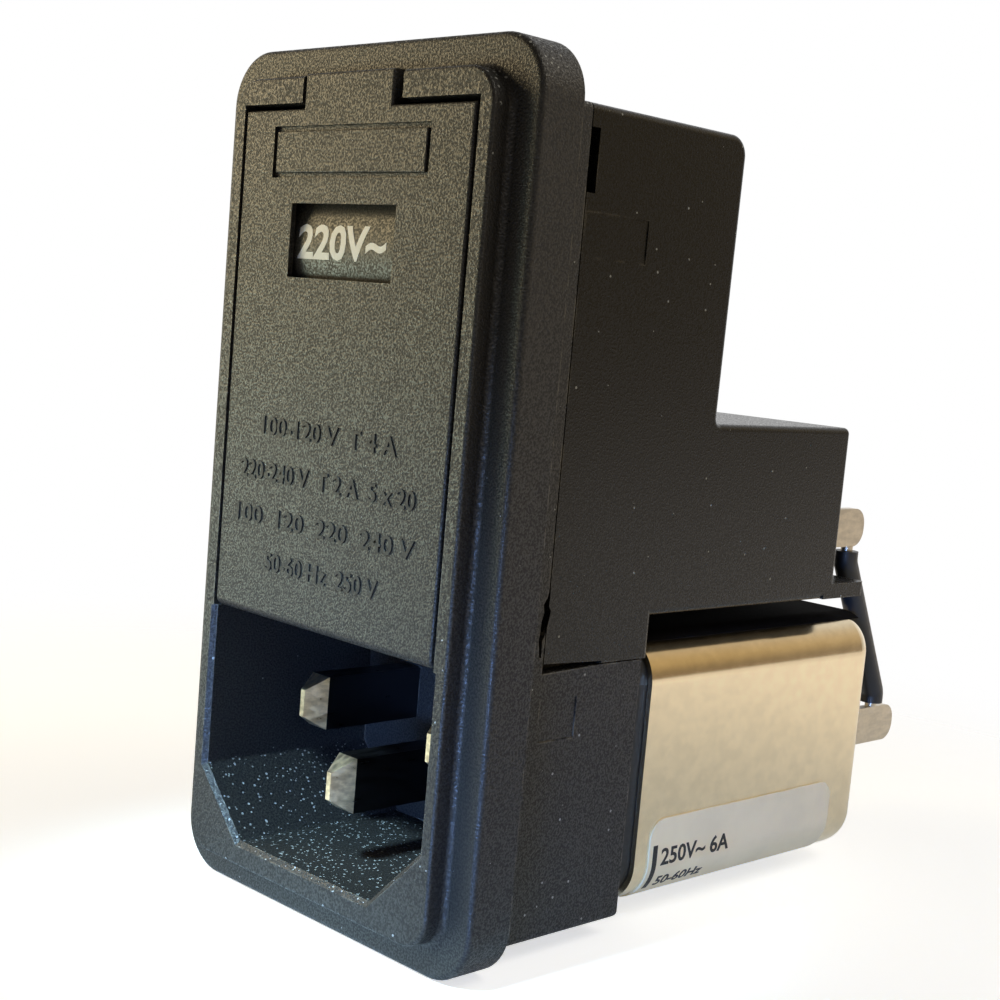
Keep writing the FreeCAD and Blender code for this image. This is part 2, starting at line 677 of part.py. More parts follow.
def bridge(x0, x1, angle):
    """A contact strip let into the drum's round surface."""
    ring = drum_rod(x0, x1, DRUM_R).cut(drum_rod(x0, x1, DRUM_R - BRIDGE_T))
    wedge = [(DRUM_Y, DRUM_Z)]
    for turn in (angle - BRIDGE_HALF_ANGLE, angle + BRIDGE_HALF_ANGLE):
        bearing = math.radians(turn)
        wedge.append((DRUM_Y + 2 * DRUM_R * math.cos(bearing), DRUM_Z + 2 * DRUM_R * math.sin(bearing)))
    return one(ring.common(across(wedge, x0, x1)))


def selector_bridges():
    """One strip for each voltage: it joins a different pair of neighbouring contacts."""
    places = contact_places()
    made = {}
    for i, volts in enumerate(VOLTAGES):
        x0 = places[i] - BLADE_T / 2
        x1 = places[i + 1] + BLADE_T / 2
        made["selector_bridge_" + volts] = bridge(x0, x1, 45 + 90 * i)
    return made


def selector_drum(bridges):
    """A round drum on two journals, with the contact strips let in flush."""
    drum = drum_rod(-DRUM_HW, DRUM_HW, DRUM_R)
    drum = drum.fuse(drum_rod(-JOURNAL_REACH, JOURNAL_REACH, JOURNAL_R))
    return one(drum.cut(bridges))


def tab_hole(x, y, z, along):
    return rod(V(x, y, z) - along * TAB_W, along, TAB_HOLE_R, 2 * TAB_W)


def selector_contact(x):
    """A stamped blade: nose at the drum, shoulder inside the rear wall, tab behind it."""
    nose = DRUM_Y + DRUM_R + TURN_CLEAR
    wall = UPPER_Y - REAR_WALL
    shoulder = wall - SHOULDER_T
    tip = CONTACT_TIP_Y
    heights = [(nose, CONTACT_NOSE), (nose + CONTACT_NOSE, 2 * CONTACT_NOSE), (shoulder, CONTACT_NECK),
               (shoulder, CONTACT_SHOULDER), (wall, CONTACT_SHOULDER), (wall, CONTACT_H),
               (tip - CONTACT_TIP_CUT, CONTACT_H), (tip, CONTACT_TIP)]
    upper = [(y, DRUM_Z + height / 2) for y, height in heights]
    lower = [(y, DRUM_Z - height / 2) for y, height in reversed(heights)]
    blade = across(upper + lower, x - BLADE_T / 2, x + BLADE_T / 2)
    return one(blade.cut(tab_hole(x, tip - CONTACT_HOLE_BACK, DRUM_Z, X_AXIS)))


def fuse_axis_rod(radius, y0, y1):
    return rod(V(FUSE_X, y0, FUSE_Z), Y_AXIS, radius, y1 - y0)


def fuse_carrier():
    """Pull-out holder: a front cap with a grip slot and a tray the fuse lies in."""
    back = CARRIER_Y + CARRIER_T
    cap = blade_box(FUSE_X, FUSE_Z, 2 * CARRIER_HW, 2 * CARRIER_HH, CARRIER_Y, back)
    cap = cap.makeFillet(CARRIER_R, [e for e in cap.Edges if runs_along(e, Y_AXIS)])
    cap = cap.cut(blade_box(FUSE_X, FUSE_Z, 2 * GRIP_HW, 2 * GRIP_HH, CARRIER_Y - OVER, CARRIER_Y + GRIP_T))
    tray = box(FUSE_X - TRAY_HW, FUSE_X + TRAY_HW, back - OVER, TRAY_END, BAY_FLOOR, BAY_FLOOR + TRAY_H)
    tray = tray.cut(fuse_axis_rod(FUSE_CAP_R, FUSE_Y, FUSE_Y + FUSE_LEN))
    return one(cap.fuse(tray))


def fuse_tube():
    y0 = FUSE_Y + FUSE_CAP_END
    y1 = FUSE_Y + FUSE_LEN - FUSE_CAP_END
    return one(fuse_axis_rod(FUSE_TUBE_R, y0, y1).cut(fuse_axis_rod(FUSE_BORE_R, y0, y1)))


def fuse_cap(y_end, step):
    """An end cap: closed at y_end, open toward the middle of the fuse."""
    y_open = y_end + step * FUSE_CAP_LEN
    y_floor = y_end + step * FUSE_CAP_END
    cap = fuse_axis_rod(FUSE_CAP_R, min(y_end, y_open), max(y_end, y_open))
    return one(cap.cut(fuse_axis_rod(FUSE_TUBE_R, min(y_floor, y_open), max(y_floor, y_open))))


def fuse_wire():
    return fuse_axis_rod(FUSE_WIRE_R, FUSE_Y + FUSE_CAP_END, FUSE_Y + FUSE_LEN - FUSE_CAP_END)


def clip_ring(y0):
    """A spring ring round the upper side of a fuse cap."""
    outer = FUSE_CAP_R + CLIP_T
    ring = fuse_axis_rod(outer, y0, y0 + CLIP_LEN).cut(fuse_axis_rod(FUSE_CAP_R, y0, y0 + CLIP_LEN))
    drop = outer * math.sin(math.radians(CLIP_OPEN))
    below = FUSE_Z - drop - outer
    return ring.cut(blade_box(FUSE_X, below, 3 * outer, 2 * outer, y0 - OVER, y0 + CLIP_LEN + OVER))


def front_clip():
    """Front fuse clip: its strap runs back under the chamber roof and ends as a load tab."""
    crown = FUSE_Z + FUSE_CAP_R + CLIP_T / 2
    y0 = FRONT_CLIP_Y
    stem = box(FUSE_X - CLIP_STEM_HW, FUSE_X + CLIP_STEM_HW, y0, y0 + CLIP_LEN, crown, BAY_ROOF)
    strap = blade_box(LOAD_TAB_X, BAY_ROOF - BLADE_T / 2, TAB_W, BLADE_T, y0, LOAD_TAB_TIP)
    strap = strap.makeChamfer(TAB_TIP_CUT, tip_edges(strap, LOAD_TAB_TIP, Z_AXIS))
    strap = strap.cut(tab_hole(LOAD_TAB_X, LOAD_TAB_TIP - TAB_HOLE_BACK, BAY_ROOF, Z_AXIS))
    return one(clip_ring(y0).fuse([stem, strap]))


def upright_tab(x, z_middle, y0, tip_y):
    """A tab standing on edge for a jumper lead, with a rounded tip."""
    blade = blade_box(x, z_middle, BLADE_T, LINK_TAB_W, y0, tip_y)
    return blade.makeFillet(TAB_TIP_R, tip_edges(blade, tip_y, X_AXIS))


def rear_clip():
    """Rear fuse clip: its blade runs back beside the carrier and ends as a line tab."""
    y0 = REAR_CLIP_Y
    blade = upright_tab(LINE_TAB_X, LINE_TAB_TOP - LINK_TAB_W / 2, y0, LINE_TAB_TIP)
    inner = FUSE_X + FUSE_CAP_R + CLIP_T / 2
    step = box(inner, LINE_TAB_X, y0, y0 + CLIP_LEN, LINE_TAB_TOP - CLIP_STEP_H, LINE_TAB_TOP)
    return one(clip_ring(y0).fuse([step, blade]))


def inlet_pin(x, z, tip_y, tail_y):
    """A blade with a tapered tip and a thin tail for its lead."""
    full_y = tip_y + PIN_TAPER
    tip = Part.makeWedge(x - PIN_TIP_W / 2, tip_y, z - PIN_TIP_H / 2, z - PIN_H / 2, x - PIN_W / 2,
                         x + PIN_TIP_W / 2, full_y, z + PIN_TIP_H / 2, z + PIN_H / 2, x + PIN_W / 2)
    blade = blade_box(x, z, PIN_W, PIN_H, full_y, BLOCK_Y)
    return one(blade.fuse([tip, blade_box(x, z, TAIL_T, TAIL_H, BLOCK_Y - OVER, tail_y)]))


def inlet_pins():
    pins = {}
    for name, x, z, tip in pin_places():
        tail = TAIL_Y - STRAP_T if name == "earth_pin" else TAIL_Y
        pins[name] = inlet_pin(x, z, tip, tail)
    return pins


def can_inside(shrink, y0, y1):
    """The can's inner space, drawn in by the given amount."""
    inset = CAN_T + shrink
    return round_plate(CAN_HW - inset, CAN_Z0 + inset, CAN_Z1 - inset, CAN_R - inset, y0, y1)


def filter_base(pins):
    return one(can_inside(PLUG_CLEAR, BLOCK_Y, BASE_Y1).cut(pins))


def rounded_rear(block, y1, radius):
    return block.makeFillet(radius, edges_of(block, lambda p: near(p.y, y1)))


def filter_can():
    """A drawn metal can, open at the front, with two holes for the terminals."""
    outer = rounded_rear(round_plate(CAN_HW, CAN_Z0, CAN_Z1, CAN_R, CAN_Y0, CAN_Y1), CAN_Y1, CAN_REAR_R)
    rear = CAN_Y1 - CAN_T
    inner = rounded_rear(can_inside(0, CAN_Y0 - OVER, rear), rear, CAN_REAR_R - CAN_T)
    hole = blade_box(OUT_TAB_X, OUT_TAB_Z, 2 * BUSH_HW, 2 * BUSH_HH, rear - OVER, CAN_Y1 + OVER)
    return one(outer.cut(inner).cut(both(hole)))


def output_bushing(tab):
    """A spool-shaped insulator: flanges inside and outside the can's rear wall."""
    inside = CAN_Y1 - CAN_T
    body = blade_box(OUT_TAB_X, OUT_TAB_Z, 2 * BUSH_HW, 2 * BUSH_HH, inside - BUSH_T, CAN_Y1 + BUSH_T)
    width = 2 * (BUSH_HW + BUSH_FLANGE)
    height = 2 * (BUSH_HH + BUSH_FLANGE)
    back = blade_box(OUT_TAB_X, OUT_TAB_Z, width, height, CAN_Y1, CAN_Y1 + BUSH_T)
    front = blade_box(OUT_TAB_X, OUT_TAB_Z, width, height, inside - BUSH_T, inside)
    return one(body.fuse([back, front]).cut(tab))


def ground_tab():
    """An angle of sheet metal welded to the can's rear wall."""
    low = CAN_Z0 + GROUND_RISE
    top = low + GROUND_H
    tip_y = CAN_Y1 + GROUND_REACH
    foot = box(-TAB_W / 2, TAB_W / 2, CAN_Y1, CAN_Y1 + BLADE_T, low, top)
    blade = blade_box(0, top - BLADE_T / 2, TAB_W, BLADE_T, CAN_Y1, tip_y)
    blade = blade.makeChamfer(TAB_TIP_CUT, tip_edges(blade, tip_y, Z_AXIS))
    blade = blade.cut(tab_hole(0, tip_y - TAB_HOLE_BACK, top, Z_AXIS))
    return one(foot.fuse(blade))


def can_label():
    """A label folded round the lower right edge of the can."""
    grown = LABEL_T
    skin = round_plate(CAN_HW + grown, CAN_Z0 - grown, CAN_Z1 + grown, CAN_R + grown, LABEL_Y0, LABEL_Y1)
    skin = skin.cut(round_plate(CAN_HW, CAN_Z0, CAN_Z1, CAN_R, LABEL_Y0 - OVER, LABEL_Y1 + OVER))
    window = box(LABEL_FAR - CAN_HW, CAN_HW + OVER, LABEL_Y0, LABEL_Y1, CAN_Z0 - OVER, LABEL_TOP)
    upper = [e for e in edges_of(window, lambda p: near(p.z, LABEL_TOP)) if runs_along(e, X_AXIS)]
    return one(skin.common(window.makeFillet(LABEL_R, upper)))


def core_ring(outer, inner, y0, y1):
    ring = rod(V(0, y0, CORE_Z), Y_AXIS, outer, y1 - y0)
    return ring.cut(rod(V(0, y0, CORE_Z), Y_AXIS, inner, y1 - y0))


def choke_core():
    return one(core_ring(CORE_R, CORE_BORE, CORE_Y0, CORE_Y0 + CORE_LEN))


def choke_winding(core):
    """The turns on one side of the core, as one sleeve round it."""
    y0 = CORE_Y0 - WINDING_T
    y1 = CORE_Y0 + CORE_LEN + WINDING_T
    sleeve = core_ring(CORE_R + WINDING_T, CORE_BORE - WINDING_T, y0, y1)
    far = 3 * CORE_R
    spread = math.radians(WINDING_HALF_ANGLE)
    x = far * math.cos(spread)
    z = far * math.sin(spread)
    corners = [(x, CORE_Z - z), (far, CORE_Z - z), (far, CORE_Z + z), (x, CORE_Z + z)]
    wedge = inward([(0, CORE_Z)] + corners, y0, y1)
    return one(sleeve.common(wedge).cut(core))


def x_capacitor():
    return blade_box(0, CORE_Z, 2 * XCAP_HW, 2 * XCAP_HH, XCAP_Y0, XCAP_Y1)


def y_capacitor():
    return rod(V(YCAP_X, YCAP_Y0, CAN_Z1 - YCAP_DROP), Y_AXIS, YCAP_R, YCAP_LEN)


def bleed_resistor():
    middle = V(-RESISTOR_HW, YCAP_Y0 + YCAP_LEN / 2, CAN_Z0 + RESISTOR_RISE)
    return rod(middle, X_AXIS, RESISTOR_R, 2 * RESISTOR_HW)


def input_lead():
    start = V(PIN_SPACING / 2, TAIL_Y, LIVE_Z)
    return rod(start, Y_AXIS, LEAD_R, CORE_Y0 - WINDING_T - TAIL_Y)


def output_lead():
    z = OUT_TAB_Z
    y0 = CORE_Y0 + CORE_LEN + WINDING_T
    y1 = OUT_TAB_Y0
    points = [V(CORE_R, y0, z), V(CORE_R, y0 + LEAD_STRAIGHT, z), V(OUT_TAB_X, y1 - LEAD_STRAIGHT, z),
              V(OUT_TAB_X, y1, z)]
    return one(pipe(points, LEAD_BEND, LEAD_R))


def earth_strap():
    return box(-STRAP_HW, STRAP_HW, TAIL_Y - STRAP_T, TAIL_Y, CAN_Z0 + CAN_T, EARTH_Z + TAIL_H / 2)


def potting(contents):
    """The resin that fills the can up to a little short of its rear wall."""
    fill = can_inside(0, BASE_Y1, CAN_Y1 - CAN_T - RESIN_GAP)
    return one(fill.cut(contents))


def jumper_points(bare):
    """The lead's route from the fuse tab down to the can tab, its ends drawn back by the bare length."""
    top = LINE_TAB_TOP - LINK_TAB_W
    low = OUT_TAB_Z + LINK_TAB_W / 2
    y0 = LINE_TAB_TIP - JUMPER_BACK_TOP
    y1 = OUT_TAB_TIP - JUMPER_BACK_LOW
    return [V(LINE_TAB_X, y0, top - bare), V(LINE_TAB_X, y0, top - JUMPER_END),
            V(OUT_TAB_X, y1, low + JUMPER_END), V(OUT_TAB_X, y1, low + bare)]


def jumper_core():
    return one(pipe(jumper_points(0), JUMPER_BEND, JUMPER_R))


def jumper_sleeve(core):
    return one(pipe(jumper_points(JUMPER_BARE), JUMPER_BEND, SLEEVE_R).cut(core))


def sided(name, shape):
    """One node for each side, named after its conductor."""
    return {name + "_" + side: flip(shape, sign) for side, sign in SIDES}


def selector_nodes():
    bridges = selector_bridges()
    nodes = {"selector_drum": selector_drum(list(bridges.values()))}
    nodes.update(bridges)
    for i, x in enumerate(contact_places()):
        nodes["selector_contact_%d" % (i + 1)] = selector_contact(x)
    return nodes


def fuse_nodes():
    nodes = sided("fuse_carrier", fuse_carrier())
    nodes.update(sided("fuse_tube", fuse_tube()))
    nodes.update(sided("fuse_front_cap", fuse_cap(FUSE_Y, 1)))
    nodes.update(sided("fuse_rear_cap", fuse_cap(FUSE_Y + FUSE_LEN, -1)))
    nodes.update(sided("fuse_wire", fuse_wire()))
    nodes.update(sided("fuse_front_clip", front_clip()))
    nodes.update(sided("fuse_rear_clip", rear_clip()))
    return nodes


def filter_nodes():
    pins = inlet_pins()
    core = choke_core()
    tab = upright_tab(OUT_TAB_X, OUT_TAB_Z, OUT_TAB_Y0, OUT_TAB_TIP)
    inside = {"choke_core": core, "x_capacitor": x_capacitor(), "bleed_resistor": bleed_resistor(),
              "earth_strap": earth_strap()}
    inside.update(sided("choke_winding", choke_winding(core)))
    inside.update(sided("y_capacitor", y_capacitor()))
    inside.update(sided("input_lead", input_lead()))
    inside.update(sided("output_lead", output_lead()))
    inside.update(sided("output_tab", one(tab)))
    nodes = {"filter_base": filter_base(list(pins.values())), "filter_can": filter_can(),
             "can_label": can_label(), "ground_tab": ground_tab(),
             "potting": potting(list(inside.values()) + list(pins.values()))}
    nodes.update(pins)
    nodes.update(inside)
    nodes.update(sided("output_bushing", output_bushing(tab)))
    return nodes


def jumper_nodes():
    core = jumper_core()
    nodes = sided("jumper_core", core)
    nodes.update(sided("jumper_sleeve", jumper_sleeve(core)))
    return nodes


def build():
    nodes = {"front_bezel": front_bezel(), "rear_housing": rear_housing(), "fuse_door": fuse_door()}
    nodes.update(selector_nodes())
    nodes.update(fuse_nodes())
    nodes.update(filter_nodes())
    nodes.update(jumper_nodes())
    return nodes


os.makedirs("parts", exist_ok=True)
for node, solid in build().items():
    solid.exportStep("parts/%s.step" % node)
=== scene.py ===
import json
import math

import bmesh
import bpy
from mathutils import Matrix, Vector


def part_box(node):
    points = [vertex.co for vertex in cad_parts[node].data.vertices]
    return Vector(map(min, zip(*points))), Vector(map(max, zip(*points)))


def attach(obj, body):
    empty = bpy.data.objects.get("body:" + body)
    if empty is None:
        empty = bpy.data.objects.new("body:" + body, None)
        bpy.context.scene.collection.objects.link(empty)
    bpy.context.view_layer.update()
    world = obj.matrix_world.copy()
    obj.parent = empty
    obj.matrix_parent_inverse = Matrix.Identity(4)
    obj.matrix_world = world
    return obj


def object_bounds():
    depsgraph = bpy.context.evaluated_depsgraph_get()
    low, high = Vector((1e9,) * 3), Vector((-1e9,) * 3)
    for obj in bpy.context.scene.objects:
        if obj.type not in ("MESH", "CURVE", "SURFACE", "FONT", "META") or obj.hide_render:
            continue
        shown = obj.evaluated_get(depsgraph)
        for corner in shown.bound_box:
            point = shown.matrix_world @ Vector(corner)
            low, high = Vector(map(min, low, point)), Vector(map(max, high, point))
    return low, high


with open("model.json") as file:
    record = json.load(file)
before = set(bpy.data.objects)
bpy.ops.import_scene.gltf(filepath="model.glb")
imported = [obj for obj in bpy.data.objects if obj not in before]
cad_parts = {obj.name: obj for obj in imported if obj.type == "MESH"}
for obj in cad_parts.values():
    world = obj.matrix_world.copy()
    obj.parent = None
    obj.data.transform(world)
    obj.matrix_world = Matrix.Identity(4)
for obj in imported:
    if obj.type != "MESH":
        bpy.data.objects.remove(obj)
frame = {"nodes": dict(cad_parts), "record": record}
CAD_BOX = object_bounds()

# Looks of a power entry module: textured black mouldings, plated pins, a metal filter can.
# Lengths are in millimetres here and turned into metres where a mesh or a lamp is made.

MM = 0.001
NODES = frame["nodes"]

# Camera: place and directions in the part's frame
CAMERA_PLACE = (87.849, -76.524, 12.748)
CAMERA_RIGHT = (0.69859, 0.71035, 0.08588)
CAMERA_DOWN = (0.15223, -0.03028, -0.98788)
CAMERA_AHEAD = (-0.69914, 0.70320, -0.12928)
CAMERA_LENS = 59.92
CAMERA_SENSOR = 36.0
CAMERA_SHIFT_Y = 0.04
CAMERA_CLIP = (0.005, 20.0)

# Colours of the finishes
BEZEL_BLACK = (0.015, 0.014, 0.013)
HOUSING_BLACK = (0.007, 0.007, 0.006)
DRUM_BLACK = (0.040, 0.037, 0.031)
CARRIER_GREY = (0.035, 0.035, 0.036)
INSULATOR_BLACK = (0.010, 0.010, 0.011)
SLEEVE_BLACK = (0.016, 0.017, 0.019)
DUST_GREY = (0.30, 0.31, 0.31)
WORN_GREY = (0.20, 0.18, 0.14)
PIN_NICKEL = (0.85, 0.74, 0.54)
# Painted dark reflection on the pins' shanks
PIN_SHANK_PAINTED_SHADE = (0.06, 0.06, 0.065)
CAN_NICKEL = (0.84, 0.72, 0.51)
TIN = (0.60, 0.54, 0.44)
BRASS = (0.70, 0.48, 0.20)
COPPER = (0.60, 0.24, 0.10)
LABEL_WHITE = (0.90, 0.78, 0.51)
RESIN_GREY = (0.05, 0.05, 0.05)
FERRITE_GREY = (0.06, 0.06, 0.065)
BOX_YELLOW = (0.62, 0.45, 0.06)
DISC_BLUE = (0.03, 0.12, 0.42)
RESISTOR_TAN = (0.55, 0.42, 0.26)
GLASS_CLEAR = (0.93, 0.95, 0.94)
INK_WHITE = (0.86, 0.89, 0.96)
# Painted shade: the matt black sheet on the can's top
CAN_TOP_PAINTED_SHADE = (0.008, 0.008, 0.009)
# Painted shade: the door letters are darker than the door's own plastic
LETTER_PAINTED_SHADE = (0.012, 0.011, 0.010)

# Studio: colours of the room and the floor, and where they fade
FRONT_ROOM_LOW = (0.03, 0.05, 0.07)
FRONT_ROOM_HIGH = (0.07, 0.06, 0.05)
SIDE_ROOM_LOW = (0.27, 0.20, 0.12)
SIDE_ROOM_HIGH = (0.52, 0.38, 0.19)
SIDE_EDGE = (0.30, 0.92)
BACKDROP_EDGE = (0.10, 0.75)
FLOOR_GREY = (0.74, 0.76, 0.77)
FLOOR_FADE = (58.0, 135.0)
MIRROR_FADE = (420.0, 700.0)
# Painted reflection: the floor's glow in reflections, dim and cool near the part as painted shade, paler far
# off
MIRROR_SHADE_NEAR = (0.16, 0.20, 0.25)
MIRROR_GLOW_FAR = (0.69, 0.63, 0.58)
FLOOR_LIFT = 0.66
MIRROR_SHADE_REACH = (40.0, 150.0)
FLOOR_Z = CAD_BOX[0].z / MM - 0.05


def in_metres(point):
    return Vector(point) * MM


# Shader groups shared by the finishes


def new_group(name, inputs, outputs):
    """An empty shader group with float inputs, given as name and default, and float outputs."""
    group = bpy.data.node_groups.new(name, "ShaderNodeTree")
    for label, value in inputs:
        socket = group.interface.new_socket(label, in_out="INPUT", socket_type="NodeSocketFloat")
        socket.default_value = value
    for label in outputs:
        group.interface.new_socket(label, in_out="OUTPUT", socket_type="NodeSocketFloat")
    entry = group.nodes.new("NodeGroupInput")
    leave = group.nodes.new("NodeGroupOutput")
    return group, entry, leave


def set_or_link(tree, value, socket):
    """A socket takes a number as it is, or a link from another socket."""
    if isinstance(value, bpy.types.NodeSocket):
        tree.links.new(value, socket)
    else:
        socket.default_value = value


def math_node(tree, operation, first, second=None):
    node = tree.nodes.new("ShaderNodeMath")
    node.operation = operation
    set_or_link(tree, first, node.inputs[0])
    if second is not None:
        set_or_link(tree, second, node.inputs[1])
    return node.outputs[0]


def noise_node(tree, scale, detail, place):
    node = tree.nodes.new("ShaderNodeTexNoise")
    node.inputs["Detail"].default_value = detail
    tree.links.new(place, node.inputs["Vector"])
    set_or_link(tree, scale, node.inputs["Scale"])
    return node.outputs["Fac"]


def ramp_node(tree, value, low, high, to_low=0.0, to_high=1.0):
    """A value that goes smoothly from to_low at low to to_high at high."""
    node = tree.nodes.new("ShaderNodeMapRange")
    node.interpolation_type = "SMOOTHSTEP"
    node.inputs["From Min"].default_value = low
    node.inputs["From Max"].default_value = high
    node.inputs["To Min"].default_value = to_low
    node.inputs["To Max"].default_value = to_high
    tree.links.new(value, node.inputs["Value"])
    return node.outputs["Result"]


def object_place(tree):
    return tree.nodes.new("ShaderNodeTexCoord").outputs["Object"]


def moulded_grain_group():
    """The sparked texture of a moulding, its light and dark specks, and the slow drift of its tone."""
    inputs = [("Grains per metre", 6500.0)]
    group, entry, leave = new_group("moulded grain", inputs, ["Height", "Speck", "Tone"])
    place = object_place(group)
    fine = noise_node(group, entry.outputs["Grains per metre"], 1.0, place)
    slow = noise_node(group, 260.0, 3.0, place)
    group.links.new(fine, leave.inputs["Height"])
    group.links.new(ramp_node(group, fine, 0.32, 0.70), leave.inputs["Speck"])
    group.links.new(ramp_node(group, slow, 0.30, 0.70), leave.inputs["Tone"])
    return group


def dust_group():
    """Light specks in a share of the cells of a scatter, more of them on faces that look up."""
    inputs = [("Cells per metre", 3400.0), ("Share", 0.02), ("Lying share", 0.5), ("Size", 0.36)]
    group, entry, leave = new_group("dust", inputs, ["Mask"])
    coordinates = group.nodes.new("ShaderNodeTexCoord")
    cells = group.nodes.new("ShaderNodeTexVoronoi")
    group.links.new(coordinates.outputs["Object"], cells.inputs["Vector"])
    group.links.new(entry.outputs["Cells per metre"], cells.inputs["Scale"])
    pick = group.nodes.new("ShaderNodeSeparateColor")
    group.links.new(cells.outputs["Color"], pick.inputs["Color"])
    facing = group.nodes.new("ShaderNodeSeparateXYZ")
    group.links.new(coordinates.outputs["Normal"], facing.inputs["Vector"])
    lying = math_node(group, "MULTIPLY", math_node(group, "MAXIMUM", facing.outputs["Z"], 0.0),
                      entry.outputs["Lying share"])
    share = math_node(group, "ADD", entry.outputs["Share"], lying)
    chosen = math_node(group, "LESS_THAN", pick.outputs["Red"], share)
    size = math_node(group, "MULTIPLY", pick.outputs["Green"], entry.outputs["Size"])
    spot = math_node(group, "LESS_THAN", cells.outputs["Distance"], size)
    group.links.new(math_node(group, "MULTIPLY", chosen, spot), leave.inputs["Mask"])
    return group


def edge_wear_group():
    """A patchy mask along sharp edges, where the surface has been rubbed."""
    group, entry, leave = new_group("edge wear", [("Patches per metre", 700.0), ("Amount", 0.5)], ["Mask"])
    eased = group.nodes.new("ShaderNodeBevel")
    eased.samples = 6
    eased.inputs["Radius"].default_value = 0.22 * MM
    plain = group.nodes.new("ShaderNodeNewGeometry")
    turn = group.nodes.new("ShaderNodeVectorMath")
    turn.operation = "DOT_PRODUCT"
    group.links.new(eased.outputs["Normal"], turn.inputs[0])
    group.links.new(plain.outputs["Normal"], turn.inputs[1])
    edge = ramp_node(group, turn.outputs["Value"], 0.995, 0.90)
    patches = noise_node(group, entry.outputs["Patches per metre"], 4.0, object_place(group))
    patchy = math_node(group, "MULTIPLY", edge, ramp_node(group, patches, 0.42, 0.62))
    group.links.new(math_node(group, "MULTIPLY", patchy, entry.outputs["Amount"]), leave.inputs["Mask"])
    return group


GRAIN = moulded_grain_group()
DUST = dust_group()
WEAR = edge_wear_group()


# Finishes


def new_finish(name, colour, roughness, metallic=0.0, specular=0.5):
    material = bpy.data.materials.new(name)
    material.use_nodes = True
    shader = material.node_tree.nodes["Principled BSDF"]
    shader.inputs["Base Color"].default_value = (*colour, 1.0)
    shader.inputs["Roughness"].default_value = roughness
    shader.inputs["Metallic"].default_value = metallic
    shader.inputs["Specular IOR Level"].default_value = specular
    return material, material.node_tree, shader


def place_group(tree, group, **values):
    node = tree.nodes.new("ShaderNodeGroup")
    node.node_tree = group
    for label, value in values.items():
        node.inputs[label.replace("_", " ")].default_value = value
    return node


def mix_colour(tree, share, first, second):
    """A colour between two, each a socket or a plain colour."""
    node = tree.nodes.new("ShaderNodeMix")
    node.data_type = "RGBA"
    tree.links.new(share, node.inputs["Factor"])
    for label, value in (("A", first), ("B", second)):
        socket = [s for s in node.inputs if s.name == label and s.type == "RGBA"][0]
        if isinstance(value, bpy.types.NodeSocket):
            tree.links.new(value, socket)
        else:
            socket.default_value = (*value, 1.0)
    return [s for s in node.outputs if s.type == "RGBA"][0]


def bump(tree, shader, height, distance, strength=1.0):
    node = tree.nodes.new("ShaderNodeBump")
    node.inputs["Distance"].default_value = distance
    node.inputs["Strength"].default_value = strength
    tree.links.new(height, node.inputs["Height"])
    tree.links.new(node.outputs["Normal"], shader.inputs["Normal"])


def shade(colour, factor):
    return tuple(channel * factor for channel in colour)


def moulding(name, colour, roughness, specular, relief, contrast, dust, lying_dust_and_light, wear):
    """Black plastic with a sparked texture, uneven in tone, dusty, and rubbed along its edges."""
    material, tree, shader = new_finish(name, colour, roughness, specular=specular)
    grain = place_group(tree, GRAIN)
    body = mix_colour(tree, grain.outputs["Speck"], shade(colour, 1 - contrast), shade(colour, 1 + contrast))
    drift = math_node(tree, "MULTIPLY", grain.outputs["Tone"], 0.2)
    body = mix_colour(tree, drift, body, shade(colour, 1.3))
    rubbed = place_group(tree, WEAR, Amount=wear)
    body = mix_colour(tree, rubbed.outputs["Mask"], body, WORN_GREY)
    # Dust; where the share on faces that look up is large, it is also painted light
    dusty = place_group(tree, DUST, Share=dust, Lying_share=lying_dust_and_light)
    tree.links.new(mix_colour(tree, dusty.outputs["Mask"], body, DUST_GREY), shader.inputs["Base Color"])
    gloss = ramp_node(tree, grain.outputs["Speck"], 0.0, 1.0, roughness * 1.3, roughness * 0.7)
    tree.links.new(gloss, shader.inputs["Roughness"])
    bump(tree, shader, grain.outputs["Height"], relief * MM)
    return material


def plated(name, colour, roughness, spread, mottle, streaks, sides=None):
    """Plated metal, uneven in gloss and tone, with its marks drawn out along one direction.

    The faces along Y take the second colour, where one is given: a painted dark reflection, standing for the
    dark surroundings that the pins' shanks mirror.
    """
    material, tree, shader = new_finish(name, colour, roughness, metallic=1.0)
    stretch = tree.nodes.new("ShaderNodeMapping")
    stretch.inputs["Scale"].default_value = streaks
    tree.links.new(object_place(tree), stretch.inputs["Vector"])
    streak = noise_node(tree, 1.0, 3.0, stretch.outputs["Vector"])
    gloss = ramp_node(tree, streak, 0.2, 0.8, roughness - spread, roughness + spread)
    tree.links.new(gloss, shader.inputs["Roughness"])
    tone = ramp_node(tree, streak, 0.3, 0.7)
    worn = mix_colour(tree, tone, shade(colour, 1 - mottle), shade(colour, 1 + mottle))
    grain = place_group(tree, GRAIN, Grains_per_metre=2500.0)
    speck = math_node(tree, "MULTIPLY", grain.outputs["Speck"], mottle)
    worn = mix_colour(tree, speck, worn, shade(colour, 0.55))
    # Painted shade: the second colour darkens the shanks as a painted dark reflection
    if sides:
        facing = tree.nodes.new("ShaderNodeSeparateXYZ")
        tree.links.new(tree.nodes.new("ShaderNodeTexCoord").outputs["Normal"], facing.inputs["Vector"])
        ends = ramp_node(tree, math_node(tree, "ABSOLUTE", facing.outputs["Y"]), 0.1, 0.3)
        worn = mix_colour(tree, ends, sides, worn)
    tree.links.new(worn, shader.inputs["Base Color"])
    return material


